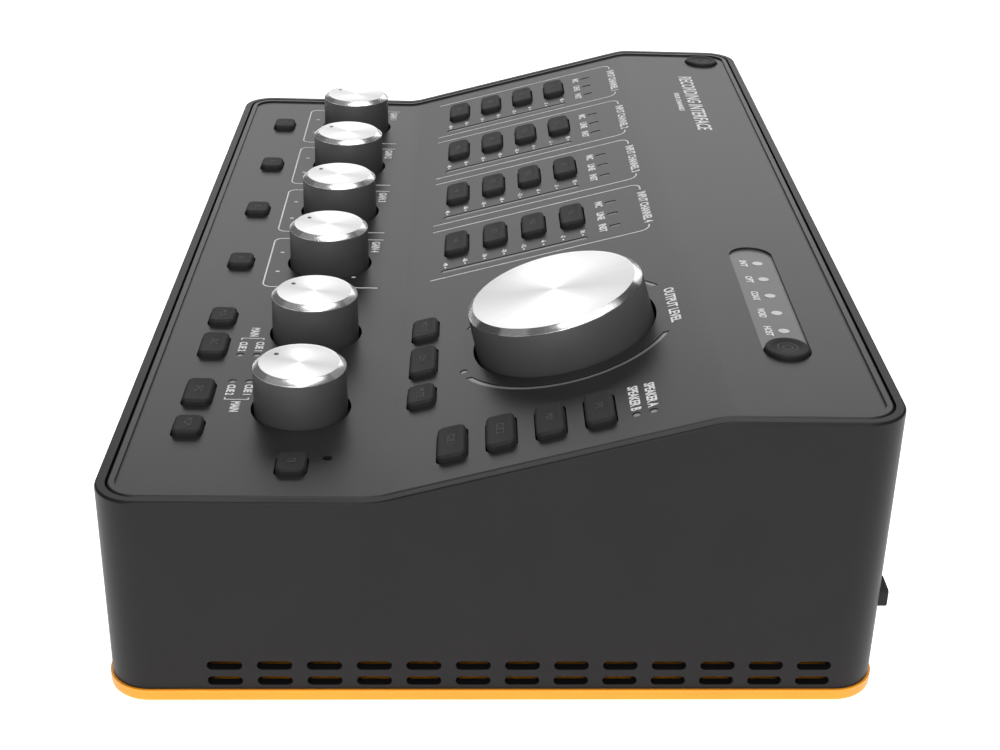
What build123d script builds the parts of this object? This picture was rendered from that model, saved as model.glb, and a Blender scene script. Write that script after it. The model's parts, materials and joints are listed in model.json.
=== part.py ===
"""Desktop audio interface: a sloped console housing with knobs, keys, sockets and boards.

X runs to the user's right, Y away from the user and Z up. The origin is under the middle of the whole
object, on the surface that it stands on. The top has three flats: a level front deck, a sloped middle
deck and a level rear deck. Each deck has its own plane, whose Z is measured from the housing's rim.
"""

import os
from math import atan2, cos, radians, sin, tan

from build123d import *

# Housing
width = 265.0
depth = 164.0
front_height = 48.7
rear_height = 68.0
front_bend_y = -25.3
rear_bend_y = 44.3
bend_radius = 18.0
corner_radius = 9.0
wall = 2.1
ledge = 2.4
rim_edge = 0.6
ledge_height = 3.0
boss_radius = 4.0
boss_height = 9.0
boss_inset = 6.0

# Vents along both sides
vent_count = 13
vent_pitch = 10.4
vent_length = 7.4
vent_height = 2.2
vent_rows = (9.0, 5.1)
vent_middle_y = 5.4

# Top panel
panel_gap = 0.4
panel_thickness = 2.0
panel_bead = 1.5
panel_edge = 0.45
field_drop = 0.5

# Base plate, feet and screws
base_thickness = 2.9
base_proud = 0.5
foot_radius = 8.0
foot_stand = 1.8
foot_inset = 26.0
screw_radius = 1.5
screw_head_radius = 2.8
screw_head_height = 1.6
screw_length = 10.0
screw_clearance = 0.2

# Keys and the switches under them
key_width = 6.15
key_proud = 1.0
key_corner = 1.6
key_edge = 0.7
key_gap = 0.4
key_travel = 0.8
flange_margin = 0.8
flange_thickness = 1.0
flange_play = 0.4
post_radius = 1.5
post_gap = 0.35
switch_side = 6.0
switch_height = 4.0
switch_play = 1.6

# Knobs, their shafts and the pots that carry them
small_skirt_radius = 10.35
big_skirt_radius = 21.0
knob_hole_gap = 0.7
knob_sunk = 3.2
small_skirt_height = 9.5
big_skirt_height = 9.1
cap_height = 1.3
cap_inset = 0.15
cap_chamfer = 1.1
shaft_radius = 3.0
shaft_gap = 0.05
shaft_socket = 7.0
shaft_foot = 0.4
pot_side = 12.0
encoder_side = 14.0

# Boards
board_thickness = 1.6
deck_board_drop = 9.0
main_board_width = 236.0
main_board_depth = 132.0
main_board_top = 12.6
standoff_radius = 3.0
standoff_inset = 12.0

# Windows and light pipes
lens_sunk = 0.2
lens_gap = 0.12
lens_length = 3.0
lens_width = 1.3
round_lens_radius = 0.9
meter_width = 1.8
meter_start = 11.7
meter_length = 39.1
halo_radius = 26.0
halo_width = 1.3
halo_sweep = 122.0

# Display recess on the rear deck
display_start_x = 40.6
display_end_x = 104.0
display_y = 62.0
display_width = 10.6
display_drop = 1.0

# Round buttons
round_button_gap = 0.35
display_button_radius = 4.9
standby_button_radius = 5.2
round_button_proud = 1.2

# Channels, from left to right
channel_count = 4
channel_pitch = 37.8
first_channel_x = -104.3
channel_key_offset = -3.1
channel_key_length = 13.3
channel_key_count = 4
channel_key_start = 15.8
channel_key_pitch = 10.56
meter_offset = 12.6
channel_lens_s = 58.3
channel_lens_offsets = (-8.0, 0.4, 8.8)
gain_knob_y = -43.6
gain_key_y = -66.8
gain_key_length = 8.0
gain_key_offset = 1.1

# Phones, talkback and monitor controls
phones_x = (52.4, 90.8)
phones_lens_places = ((65.0, -60.2), (65.0, -56.3), (78.6, -60.2), (78.6, -56.4))
output_knob_x = 72.9
output_knob_s = 42.0
speaker_lens_places = ((119.9, 54.8), (119.9, 58.4))
halo_dot_places = ((82.0, 18.1),)
front_keys = (
    ("phones_1_mono_key", 45.2, gain_key_y, 8.4),
    ("phones_1_source_key", 61.1, gain_key_y, 11.3),
    ("phones_2_source_key", 85.2, gain_key_y, 11.3),
    ("phones_2_mono_key", 101.0, gain_key_y, 7.9),
    ("talkback_key", 116.9, -43.2, 7.9),
)
talkback_mic_place = (113.4, -36.0)
talkback_mic_radius = 1.0
slope_keys = (
    ("mono_key", 56.3, 8.5, 10.2),
    ("dim_key", 73.4, 8.5, 13.6),
    ("mute_key", 90.4, 8.5, 9.0),
    ("output_key_1", 115.2, channel_key_start, 13.0),
    ("output_key_2", 115.2, channel_key_start + channel_key_pitch, 13.0),
    ("output_key_3", 115.2, channel_key_start + 2 * channel_key_pitch, 13.0),
    ("output_key_4", 115.2, channel_key_start + 3 * channel_key_pitch, 13.0),
)
standby_button_place = (-121.4, 70.6)

# Rear sockets, with heights above the housing's foot
rear_proud = 2.4
combo_z = 41.5
combo_radius = 12.0
combo_flange_radius = 13.2
combo_depth = 20.0
combo_bore = 3.25
combo_pin_radius = 1.4
combo_pin_circle = 7.2
jack_z = 20.4
jack_count = 8
jack_pitch = 17.0
first_jack_x = -113.0
jack_bore = 3.25
jack_ring_radius = 5.8
jack_ring_thickness = 1.6
jack_thread_radius = 4.6
jack_body_side = 12.0
jack_depth = 20.0
clock_places = ((38.0, combo_z), (56.0, combo_z))
clock_radius = 4.8
clock_bore = 2.2
coax_places = ((74.0, combo_z), (88.0, combo_z))
coax_radius = 4.15
coax_bore = 2.5
digital_depth = 14.0
digital_flange = 1.2
optical_places = ((102.0, combo_z), (115.0, combo_z))
optical_side = 9.7
optical_mouth = 6.0
data_places = ((49.0, jack_z), (67.0, jack_z), (85.0, jack_z))
data_width = 13.1
data_height = 5.9
data_shell = 0.8
data_depth = 14.0
host_place = (31.0, jack_z)
host_width = 9.6
host_height = 4.2
inlet_place = (108.5, jack_z)
inlet_radius = 5.8
inlet_bore = 3.0
inlet_pin_radius = 0.9
inlet_depth = 12.0
socket_gap = 0.1

# Power button on the rear
power_place = (120.8, jack_z)
power_width = 6.4
power_height = 4.4
power_gap = 0.35
power_flange = 1.2
power_depth = 6.0
power_travel = 1.5

# Front sockets
phones_jack_z = 24.0
phones_bezel_radius = 5.2
mini_offset = 17.0
mini_bore = 1.8
mini_bezel_radius = 3.4
phones_jack_depth = 22.0

os.makedirs("parts", exist_ok=True)

# Everything above the feet is lifted by them. The rear sockets stand proud of the housing, so its middle
# lies half of that in front of the origin.
floor_z = foot_stand + base_thickness
lift = foot_stand
body_y = -(rear_proud - base_proud) / 2
slope = atan2(rear_height - front_height, rear_bend_y - front_bend_y)
slope_length = (rear_bend_y - front_bend_y) / cos(slope)
front_face_y = body_y - depth / 2
rear_face_y = body_y + depth / 2

front_deck = Plane(origin=(0, body_y, lift + front_height))
rear_deck = Plane(origin=(0, body_y, lift + rear_height))
slope_deck = Plane(
    origin=(0, body_y + front_bend_y, lift + front_height),
    x_dir=(1, 0, 0),
    z_dir=(0, -sin(slope), cos(slope)),
)
rear_wall = Plane(origin=(0, rear_face_y, lift), x_dir=(1, 0, 0), z_dir=(0, -1, 0))
front_wall = Plane(origin=(0, front_face_y, lift), x_dir=(1, 0, 0), z_dir=(0, -1, 0))

flange_top = panel_thickness + flange_play
flange_bottom = flange_top + flange_thickness
switch_top = deck_board_drop - switch_height
post_end = deck_board_drop - 0.2 - key_travel
channel_x = [first_channel_x + i * channel_pitch for i in range(channel_count)]


def finish(piece, label):
    """Labels a finished piece and writes its STEP file."""
    piece.part.label = label
    export_step(piece.part, f"parts/{label}.step")


def outline_edges(form, inset):
    """The edges where the roof of a console form meets its upright walls."""
    side_x = width / 2 - inset - corner_radius
    side_y = depth / 2 - inset - corner_radius
    roof_edges = [edge for edge in form.edges() if edge.center().Z > lift + front_height - 2 * panel_thickness]
    return [edge for edge in roof_edges
            if abs(edge.center().X) > side_x or abs(edge.center().Y - body_y) > side_y]


def console(inset, bottom, drop, edge_radius=0.0):
    """The housing's outer form, drawn in by inset, from bottom up to drop below the three decks.

    An edge_radius rounds the edge between the roof and the walls.
    """
    shift = drop * tan(slope / 2)
    front_z = lift + front_height - drop
    rear_z = lift + rear_height - drop
    with BuildPart() as form:
        with BuildSketch(Plane.YZ):
            with BuildLine():
                roof = FilletPolyline(
                    (body_y - depth / 2, front_z),
                    (body_y + front_bend_y + shift, front_z),
                    (body_y + rear_bend_y + shift, rear_z),
                    (body_y + depth / 2, rear_z),
                    radius=bend_radius,
                )
                Polyline(roof @ 1, (body_y + depth / 2, bottom), (body_y - depth / 2, bottom), roof @ 0)
            make_face()
        extrude(amount=width / 2, both=True)
        with BuildSketch():
            with Locations((0, body_y)):
                RectangleRounded(width - 2 * inset, depth - 2 * inset, corner_radius - inset)
        extrude(amount=lift + rear_height, mode=Mode.INTERSECT)
        if edge_radius:
            fillet(outline_edges(form, inset), radius=edge_radius)
    return form.part


def boss_places():
    """The centres of the four bosses that take the base screws."""
    return GridLocations(width - 2 * boss_inset, depth - 2 * boss_inset, 2, 2)


def rear_holes():
    """The openings of the rear wall, on the current sketch."""
    with Locations(*[(x, combo_z) for x in channel_x]):
        Circle(combo_radius + socket_gap)
    with Locations(*[(first_jack_x + i * jack_pitch, jack_z) for i in range(jack_count)]):
        Circle(jack_thread_radius + socket_gap)
    with Locations(*clock_places):
        Circle(clock_radius + socket_gap)
    with Locations(*coax_places):
        Circle(coax_radius + socket_gap)
    with Locations(*optical_places):
        Rectangle(optical_side + 2 * socket_gap, optical_side + 2 * socket_gap)
    with Locations(*data_places):
        Rectangle(data_width + 2 * socket_gap, data_height + 2 * socket_gap)
    with Locations(host_place):
        Rectangle(host_width + 2 * socket_gap, host_height + 2 * socket_gap)
    with Locations(inlet_place):
        Circle(inlet_radius - jack_ring_thickness / 2 + socket_gap)
    with Locations(power_place):
        Rectangle(power_width + 2 * power_gap, power_height + 2 * power_gap)


def front_holes():
    """The openings of the front wall, on the current sketch."""
    with Locations(*[(x, phones_jack_z) for x in phones_x]):
        Circle(phones_bezel_radius + socket_gap)
    with Locations(*[(x + mini_offset, phones_jack_z) for x in phones_x]):
        Circle(mini_bezel_radius + socket_gap)


def make_housing():
    """A wall ring with a sloped rim, a ledge for the panel, vents and socket openings."""
    with BuildPart() as housing:
        add(console(0, floor_z, 0, rim_edge))
        add(console(wall, floor_z - 1, panel_thickness + ledge_height), mode=Mode.SUBTRACT)
        add(console(wall + ledge, floor_z, 0), mode=Mode.SUBTRACT)
        add(console(wall, floor_z + front_height / 2, 0) - console(wall, floor_z, panel_thickness),
            mode=Mode.SUBTRACT)
        with BuildSketch(Plane.YZ.offset(-width / 2)):
            for row_z in vent_rows:
                with Locations((body_y + vent_middle_y, lift + row_z)):
                    with GridLocations(vent_pitch, 0, vent_count, 1):
                        SlotOverall(vent_length, vent_height)
        extrude(amount=width, mode=Mode.SUBTRACT)
        with BuildSketch(rear_wall):
            rear_holes()
        extrude(amount=2 * wall, mode=Mode.SUBTRACT)
        with BuildSketch(front_wall):
            front_holes()
        extrude(amount=-wall, mode=Mode.SUBTRACT)
        with BuildSketch(Plane.XY.offset(floor_z)):
            with Locations((0, body_y)):
                with boss_places():
                    Circle(boss_radius)
        extrude(amount=boss_height)
        with BuildSketch(Plane.XY.offset(floor_z)):
            with Locations((0, body_y)):
                with boss_places():
                    Circle(screw_radius)
        extrude(amount=boss_height, mode=Mode.SUBTRACT)
    finish(housing, "housing")


def key_holes(deck_keys):
    """The rounded openings that a deck's keys pass through, on the current sketch."""
    for _, x, y, length in deck_keys:
        with Locations((x, y)):
            RectangleRounded(length + 2 * key_gap, key_width + 2 * key_gap, key_corner + key_gap)


def lens_slots(places, gap=0.0):
    """Upright oval windows, on the current sketch. A gap draws the pipe that fills one with that much room."""
    with Locations(*places):
        SlotOverall(lens_length - 2 * gap, lens_width - 2 * gap, rotation=90)


def round_lenses(places, gap=0.0):
    """Round windows, on the current sketch."""
    with Locations(*places):
        Circle(round_lens_radius - gap)


def channel_lens_places():
    return [(x + offset, channel_lens_s) for x in channel_x for offset in channel_lens_offsets]


def meter_slots(gap=0.0):
    """The level meter's long window beside each channel's keys, on the current sketch."""
    for x in channel_x:
        with Locations((x + meter_offset, meter_start + meter_length / 2)):
            SlotOverall(meter_length - 2 * gap, meter_width - 2 * gap, rotation=90)


def halo_slots(gap=0.0):
    """Two arc windows round the output knob, as a sketch of their own: a ring with its middle band cut out."""
    band = 2 * (halo_radius * cos(radians(halo_sweep / 2)) + gap)
    with Locations((output_knob_x, output_knob_s)):
        Circle(halo_radius + halo_width / 2 - gap)
        Circle(halo_radius - halo_width / 2 + gap, mode=Mode.SUBTRACT)
        Rectangle(band, 3 * halo_radius, mode=Mode.SUBTRACT)


def display_outline():
    """The display's long round-ended outline, on the current sketch."""
    with Locations(((display_start_x + display_end_x) / 2, display_y)):
        SlotOverall(display_end_x - display_start_x, display_width)


def display_button_place():
    return (display_end_x - display_width / 2, display_y)


def front_deck_keys():
    gain_keys = [(f"gain_key_{i + 1}", x + gain_key_offset, gain_key_y, gain_key_length)
                 for i, x in enumerate(channel_x)]
    return gain_keys + list(front_keys)


def slope_deck_keys():
    keys = list(slope_keys)
    for i, x in enumerate(channel_x):
        for j in range(channel_key_count):
            place = channel_key_start + j * channel_key_pitch
            keys.append((f"channel_{i + 1}_key_{j + 1}", x + channel_key_offset, place, channel_key_length))
    return keys


def make_top_panel():
    """A folded plate that lies in the rim, with a raised border, a lowered field and all its openings."""
    inset = wall + panel_gap
    knob_hole = small_skirt_radius + knob_hole_gap
    with BuildPart() as panel:
        add(console(inset, floor_z + 1, 0, panel_edge))
        add(console(inset - 0.1, floor_z, panel_thickness), mode=Mode.SUBTRACT)
        add(console(inset + panel_bead, floor_z, 0) - console(0, floor_z, field_drop), mode=Mode.SUBTRACT)
        with BuildSketch(front_deck):
            key_holes(front_deck_keys())
            with Locations(*[(x, gain_knob_y) for x in channel_x + list(phones_x)]):
                Circle(knob_hole)
            round_lenses(phones_lens_places)
            with Locations(talkback_mic_place):
                Circle(talkback_mic_radius)
        extrude(amount=-2 * panel_thickness, mode=Mode.SUBTRACT)
        with BuildSketch(slope_deck):
            key_holes(slope_deck_keys())
            with Locations((output_knob_x, output_knob_s)):
                Circle(big_skirt_radius + knob_hole_gap)
            lens_slots(channel_lens_places())
            round_lenses(speaker_lens_places + halo_dot_places)
            meter_slots()
        extrude(amount=-2 * panel_thickness, mode=Mode.SUBTRACT)
        with BuildSketch(slope_deck):
            halo_slots()
        extrude(amount=-2 * panel_thickness, mode=Mode.SUBTRACT)
        with BuildSketch(rear_deck):
            display_outline()
            with Locations(standby_button_place):
                Circle(standby_button_radius + round_button_gap)
        extrude(amount=-2 * panel_thickness, mode=Mode.SUBTRACT)
    finish(panel, "top_panel")


def make_base():
    """The base plate, the rubber feet under it and the screws that hold it to the bosses."""
    with BuildPart() as base:
        with BuildSketch(Plane.XY.offset(foot_stand)):
            with Locations((0, body_y)):
                RectangleRounded(width + 2 * base_proud, depth + 2 * base_proud, corner_radius + base_proud)
        extrude(amount=base_thickness)
        fillet(base.faces().sort_by(Axis.Z)[0].edges(), radius=0.8)
        with Locations(*[(p.position.X, body_y + p.position.Y, foot_stand) for p in boss_places()]):
            with Locations(Rotation(180, 0, 0)):
                CounterBoreHole(screw_radius + screw_clearance, screw_head_radius + screw_clearance,
                                screw_head_height, depth=base_thickness)
    finish(base, "base_plate")

    with BuildPart() as feet:
        with BuildSketch():
            with Locations((0, body_y)):
                with GridLocations(width - 2 * foot_inset, depth - 2 * foot_inset, 2, 2):
                    Circle(foot_radius)
        extrude(amount=foot_stand)
        fillet(feet.edges().group_by(Axis.Z)[0], radius=0.5)
    finish(feet, "feet")

    with BuildPart() as screws:
        with BuildSketch(Plane.XY.offset(foot_stand)):
            with Locations((0, body_y)):
                with boss_places():
                    Circle(screw_head_radius)
        extrude(amount=screw_head_height)
        with BuildSketch(Plane.XY.offset(foot_stand + screw_head_height)):
            with Locations((0, body_y)):
                with boss_places():
                    Circle(screw_radius)
        extrude(amount=screw_length - screw_head_height)
    finish(screws, "base_screws")


def make_key(label, deck, x, y, length):
    """A key cap with a hidden flange that keeps it in, and a post that presses the switch."""
    with BuildPart() as key:
        with BuildSketch(deck.offset(-flange_top)):
            with Locations((x, y)):
                RectangleRounded(length, key_width, key_corner)
        extrude(amount=flange_top + key_proud)
        fillet(key.faces().sort_by(Axis(deck.origin, deck.z_dir))[-1].edges(), radius=key_edge)
        with BuildSketch(deck.offset(-flange_bottom)):
            with Locations((x, y)):
                RectangleRounded(length + 2 * flange_margin, key_width + 2 * flange_margin, key_corner)
        extrude(amount=flange_thickness)
        with BuildSketch(deck.offset(-post_end)):
            with Locations((x, y)):
                Circle(post_radius)
        extrude(amount=post_end - flange_bottom)
    finish(key, label)


def make_round_button(label, deck, place, radius):
    """A round button, with the same flange and post as a key."""
    with BuildPart() as button:
        with BuildSketch(deck.offset(-flange_top)):
            with Locations(place):
                Circle(radius)
        extrude(amount=flange_top + round_button_proud)
        fillet(button.faces().sort_by(Axis.Z)[-1].edges(), radius=key_edge)
        with BuildSketch(deck.offset(-flange_bottom)):
            with Locations(place):
                Circle(radius + flange_margin)
        extrude(amount=flange_thickness)
        with BuildSketch(deck.offset(-post_end)):
            with Locations(place):
                Circle(post_radius)
        extrude(amount=post_end - flange_bottom)
    finish(button, label)


def make_knob(label, deck, x, y, skirt_radius, skirt_height):
    """A plastic skirt sunk in the panel, a chamfered aluminium cap on it, and the shaft that it turns."""
    cap_radius = skirt_radius - cap_inset
    with BuildPart() as skirt:
        with BuildSketch(deck.offset(-knob_sunk)):
            with Locations((x, y)):
                Circle(skirt_radius)
        extrude(amount=knob_sunk + skirt_height)
        with BuildSketch(deck.offset(-knob_sunk)):
            with Locations((x, y)):
                Circle(shaft_radius)
        extrude(amount=shaft_socket, mode=Mode.SUBTRACT)
    with BuildPart() as cap:
        with BuildSketch(deck.offset(skirt_height)):
            with Locations((x, y)):
                Circle(cap_radius)
        extrude(amount=cap_height)
        chamfer(cap.faces().sort_by(Axis(deck.origin, deck.z_dir))[-1].edges(), length=cap_chamfer)
    with BuildPart() as shaft:
        with BuildSketch(deck.offset(-deck_board_drop + shaft_foot)):
            with Locations((x, y)):
                Circle(shaft_radius)
        extrude(amount=deck_board_drop - shaft_foot - knob_sunk + shaft_socket)
    knob = Compound(children=[skirt.part, cap.part, shaft.part], label=label)
    export_step(knob, f"parts/{label}.step")


def deck_board(deck, centre_x, centre_y, length_x, length_y):
    """A circuit board that hangs under a deck, in its own place."""
    with BuildPart() as board:
        with BuildSketch(deck.offset(-deck_board_drop)):
            with Locations((centre_x, centre_y)):
                Rectangle(length_x, length_y)
        extrude(amount=-board_thickness)
    return board.part


def make_boards():
    """The main board on its standoffs, and the three boards that carry the switches and pots."""
    edge = wall + ledge + 1.5
    front_start = -depth / 2 + edge
    front_end = front_bend_y - 1.0
    slope_start = 3.0
    slope_end = slope_length - 2.0
    board_width = width - 2 * edge
    boards = [
        deck_board(front_deck, 0, (front_start + front_end) / 2, board_width, front_end - front_start),
        deck_board(slope_deck, 0, (slope_start + slope_end) / 2, board_width, slope_end - slope_start),
        deck_board(rear_deck, (display_start_x + display_end_x) / 2, display_y,
                   display_end_x - display_start_x, display_width),
        deck_board(rear_deck, *standby_button_place, display_width, display_width),
    ]
    export_step(Compound(children=boards, label="control_boards"), "parts/control_boards.step")

    with BuildPart() as main_board:
        with BuildSketch(Plane.XY.offset(lift + main_board_top - board_thickness)):
            with Locations((0, body_y)):
                Rectangle(main_board_width, main_board_depth)
        extrude(amount=board_thickness)
        with BuildSketch(Plane.XY.offset(floor_z)):
            with Locations((0, body_y)):
                with GridLocations(main_board_width - 2 * standoff_inset, main_board_depth - 2 * standoff_inset,
                                   2, 2):
                    Circle(standoff_radius)
        extrude(amount=main_board_top - board_thickness - base_thickness)
    finish(main_board, "main_board")


def switch_block(deck, places):
    """Switch bodies on a deck's board, each with a well for its key's post."""
    with BuildPart() as block:
        with BuildSketch(deck.offset(-deck_board_drop)):
            with Locations(*places):
                Rectangle(switch_side, switch_side)
            with Locations(*places):
                Circle(post_radius + post_gap, mode=Mode.SUBTRACT)
        extrude(amount=switch_height)
    return list(block.part.solids())


def make_switches():
    """Every key's switch, as separate bodies in one piece."""
    front = [(x, y) for _, x, y, _ in front_deck_keys()]
    sloped = [(x, y) for _, x, y, _ in slope_deck_keys()]
    rear = [display_button_place(), standby_button_place]
    bodies = switch_block(front_deck, front) + switch_block(slope_deck, sloped) + switch_block(rear_deck, rear)
    export_step(Compound(children=bodies, label="key_switches"), "parts/key_switches.step")


def pot_block(deck, places, side):
    """Pot bodies on a deck's board, each bored for its knob's shaft."""
    with BuildPart() as block:
        with BuildSketch(deck.offset(-deck_board_drop)):
            with Locations(*places):
                Rectangle(side, side)
            with Locations(*places):
                Circle(shaft_radius + shaft_gap, mode=Mode.SUBTRACT)
        extrude(amount=switch_height)
    return list(block.part.solids())


def make_pots():
    """Six level pots and the output knob's encoder."""
    places = [(x, gain_knob_y) for x in channel_x + list(phones_x)]
    bodies = pot_block(front_deck, places, pot_side)
    bodies += pot_block(slope_deck, [(output_knob_x, output_knob_s)], encoder_side)
    export_step(Compound(children=bodies, label="pots"), "parts/pots.step")


def make_light_pipes():
    """The clear pipes that stand on the boards and end just under the panel's windows."""
    drop = field_drop + lens_sunk
    with BuildPart() as front:
        with BuildSketch(front_deck.offset(-drop)):
            round_lenses(phones_lens_places, lens_gap)
        extrude(amount=-(deck_board_drop - drop))
    with BuildPart() as sloped:
        with BuildSketch(slope_deck.offset(-drop)):
            lens_slots(channel_lens_places(), lens_gap)
            round_lenses(speaker_lens_places + halo_dot_places, lens_gap)
            meter_slots(lens_gap)
        extrude(amount=-(deck_board_drop - drop))
    with BuildPart() as halo:
        with BuildSketch(slope_deck.offset(-drop)):
            halo_slots(lens_gap)
        extrude(amount=-(deck_board_drop - drop))
    pipes = list(front.part.solids()) + list(sloped.part.solids()) + list(halo.part.solids())
    export_step(Compound(children=pipes, label="light_pipes"), "parts/light_pipes.step")


def make_display():
    """The tray that fills the display's outline, with a hole for its button."""
    with BuildPart() as tray:
        with BuildSketch(rear_deck.offset(-panel_thickness)):
            display_outline()
            with Locations(display_button_place()):
                Circle(display_button_radius + round_button_gap, mode=Mode.SUBTRACT)
        extrude(amount=panel_thickness - display_drop)
    finish(tray, "display_tray")


def turned_socket(radius, ring_radius, bore, length, place, plane):
    """A round socket: a threaded barrel through the wall with a proud ring, bored from outside."""
    with BuildPart() as socket:
        with BuildSketch(plane.offset(-rear_proud)):
            with Locations(place):
                Circle(ring_radius)
        extrude(amount=rear_proud)
        with BuildSketch(plane):
            with Locations(place):
                Circle(radius)
        extrude(amount=length)
        with BuildSketch(plane.offset(-rear_proud)):
            with Locations(place):
                Circle(bore)
        extrude(amount=length + rear_proud - wall, mode=Mode.SUBTRACT)
    return socket.part


def make_rear_sockets():
    """The combined microphone and line inputs, the line jacks, and the digital sockets."""
    combos = []
    for x in channel_x:
        with BuildPart() as combo:
            with BuildSketch(rear_wall.offset(-rear_proud)):
                with Locations((x, combo_z)):
                    Circle(combo_flange_radius)
            extrude(amount=rear_proud)
            with BuildSketch(rear_wall):
                with Locations((x, combo_z)):
                    Circle(combo_radius)
            extrude(amount=combo_depth)
            with BuildSketch(rear_wall.offset(-rear_proud)):
                with Locations((x, combo_z)):
                    Circle(combo_bore)
                    with PolarLocations(combo_pin_circle, 3, start_angle=90, angular_range=360):
                        Circle(combo_pin_radius)
            extrude(amount=combo_depth + rear_proud - wall, mode=Mode.SUBTRACT)
        combos.append(combo.part)
    export_step(Compound(children=combos, label="combo_sockets"), "parts/combo_sockets.step")

    jacks = []
    for i in range(jack_count):
        place = (first_jack_x + i * jack_pitch, jack_z)
        jacks.append(turned_socket(jack_thread_radius, jack_ring_radius, jack_bore, jack_depth, place, rear_wall))
    export_step(Compound(children=jacks, label="line_jacks"), "parts/line_jacks.step")

    digital = []
    for place in clock_places:
        digital.append(turned_socket(clock_radius, clock_radius + digital_flange, clock_bore, digital_depth,
                                     place, rear_wall))
    for place in coax_places:
        digital.append(turned_socket(coax_radius, coax_radius + digital_flange, coax_bore, digital_depth,
                                     place, rear_wall))
    for place in optical_places:
        with BuildPart() as optical:
            with BuildSketch(rear_wall):
                with Locations(place):
                    Rectangle(optical_side, optical_side)
            extrude(amount=digital_depth)
            with BuildSketch(rear_wall):
                with Locations(place):
                    Rectangle(optical_mouth, optical_mouth)
            extrude(amount=digital_depth - wall, mode=Mode.SUBTRACT)
        digital.append(optical.part)
    export_step(Compound(children=digital, label="digital_sockets"), "parts/digital_sockets.step")


def make_data_sockets():
    """The rectangular data sockets, each a shell with an open mouth and a closed back."""
    sizes = [(place, data_width, data_height) for place in data_places]
    sizes.append((host_place, host_width, host_height))
    sockets = []
    for place, mouth_width, mouth_height in sizes:
        with BuildPart() as socket:
            with BuildSketch(rear_wall.offset(-socket_gap)):
                with Locations(place):
                    Rectangle(mouth_width, mouth_height)
            extrude(amount=data_depth)
            with BuildSketch(rear_wall.offset(-socket_gap)):
                with Locations(place):
                    Rectangle(mouth_width - 2 * data_shell, mouth_height - 2 * data_shell)
            extrude(amount=data_depth - data_shell, mode=Mode.SUBTRACT)
        sockets.append(socket.part)
    export_step(Compound(children=sockets, label="data_sockets"), "parts/data_sockets.step")


def make_power():
    """The power inlet with its centre pin, and the power button beside it."""
    with BuildPart() as inlet:
        with BuildSketch(rear_wall.offset(-rear_proud)):
            with Locations(inlet_place):
                Circle(inlet_radius)
        extrude(amount=rear_proud)
        with BuildSketch(rear_wall):
            with Locations(inlet_place):
                Circle(inlet_radius - jack_ring_thickness / 2)
        extrude(amount=inlet_depth)
        with BuildSketch(rear_wall.offset(-rear_proud)):
            with Locations(inlet_place):
                Circle(inlet_bore)
                Circle(inlet_pin_radius, mode=Mode.SUBTRACT)
        extrude(amount=inlet_depth + rear_proud - wall, mode=Mode.SUBTRACT)
    finish(inlet, "power_inlet")

    with BuildPart() as button:
        with BuildSketch(rear_wall.offset(-rear_proud)):
            with Locations(power_place):
                RectangleRounded(power_width, power_height, 0.8)
        extrude(amount=rear_proud + wall + power_gap)
        fillet(button.faces().sort_by(Axis.Y)[-1].edges(), radius=0.4)
        with BuildSketch(rear_wall.offset(wall + power_gap)):
            with Locations(power_place):
                Rectangle(power_width - 2 * power_gap, power_height + 2 * power_flange)
        extrude(amount=power_depth)
    finish(button, "power_button")


def make_phones_jacks():
    """Two large and two small headphone sockets, flush with the front wall."""
    sizes = [(x, phones_bezel_radius, jack_bore) for x in phones_x]
    sizes += [(x + mini_offset, mini_bezel_radius, mini_bore) for x in phones_x]
    jacks = []
    for x, bezel_radius, bore in sizes:
        with BuildPart() as jack:
            with BuildSketch(front_wall):
                with Locations((x, phones_jack_z)):
                    Circle(bezel_radius)
            extrude(amount=-phones_jack_depth)
            with BuildSketch(front_wall):
                with Locations((x, phones_jack_z)):
                    Circle(bore)
            extrude(amount=-(phones_jack_depth - wall), mode=Mode.SUBTRACT)
        jacks.append(jack.part)
    export_step(Compound(children=jacks, label="headphone_jacks"), "parts/headphone_jacks.step")


make_housing()
make_top_panel()
make_base()
make_boards()
make_switches()
make_pots()
make_light_pipes()
make_display()
make_rear_sockets()
make_data_sockets()
make_power()
make_phones_jacks()
for name, key_x, key_y, key_length in front_deck_keys():
    make_key(name, front_deck, key_x, key_y, key_length)
for name, key_x, key_y, key_length in slope_deck_keys():
    make_key(name, slope_deck, key_x, key_y, key_length)
make_round_button("display_button", rear_deck, display_button_place(), display_button_radius)
make_round_button("standby_button", rear_deck, standby_button_place, standby_button_radius)
for number, knob_x in enumerate(channel_x, start=1):
    make_knob(f"gain_knob_{number}", front_deck, knob_x, gain_knob_y, small_skirt_radius, small_skirt_height)
for number, knob_x in enumerate(phones_x, start=1):
    make_knob(f"phones_knob_{number}", front_deck, knob_x, gain_knob_y, small_skirt_radius, small_skirt_height)
make_knob("output_knob", slope_deck, output_knob_x, output_knob_s, big_skirt_radius, big_skirt_height)
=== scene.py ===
import bpy, json, math
from mathutils import Matrix, Vector


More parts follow.
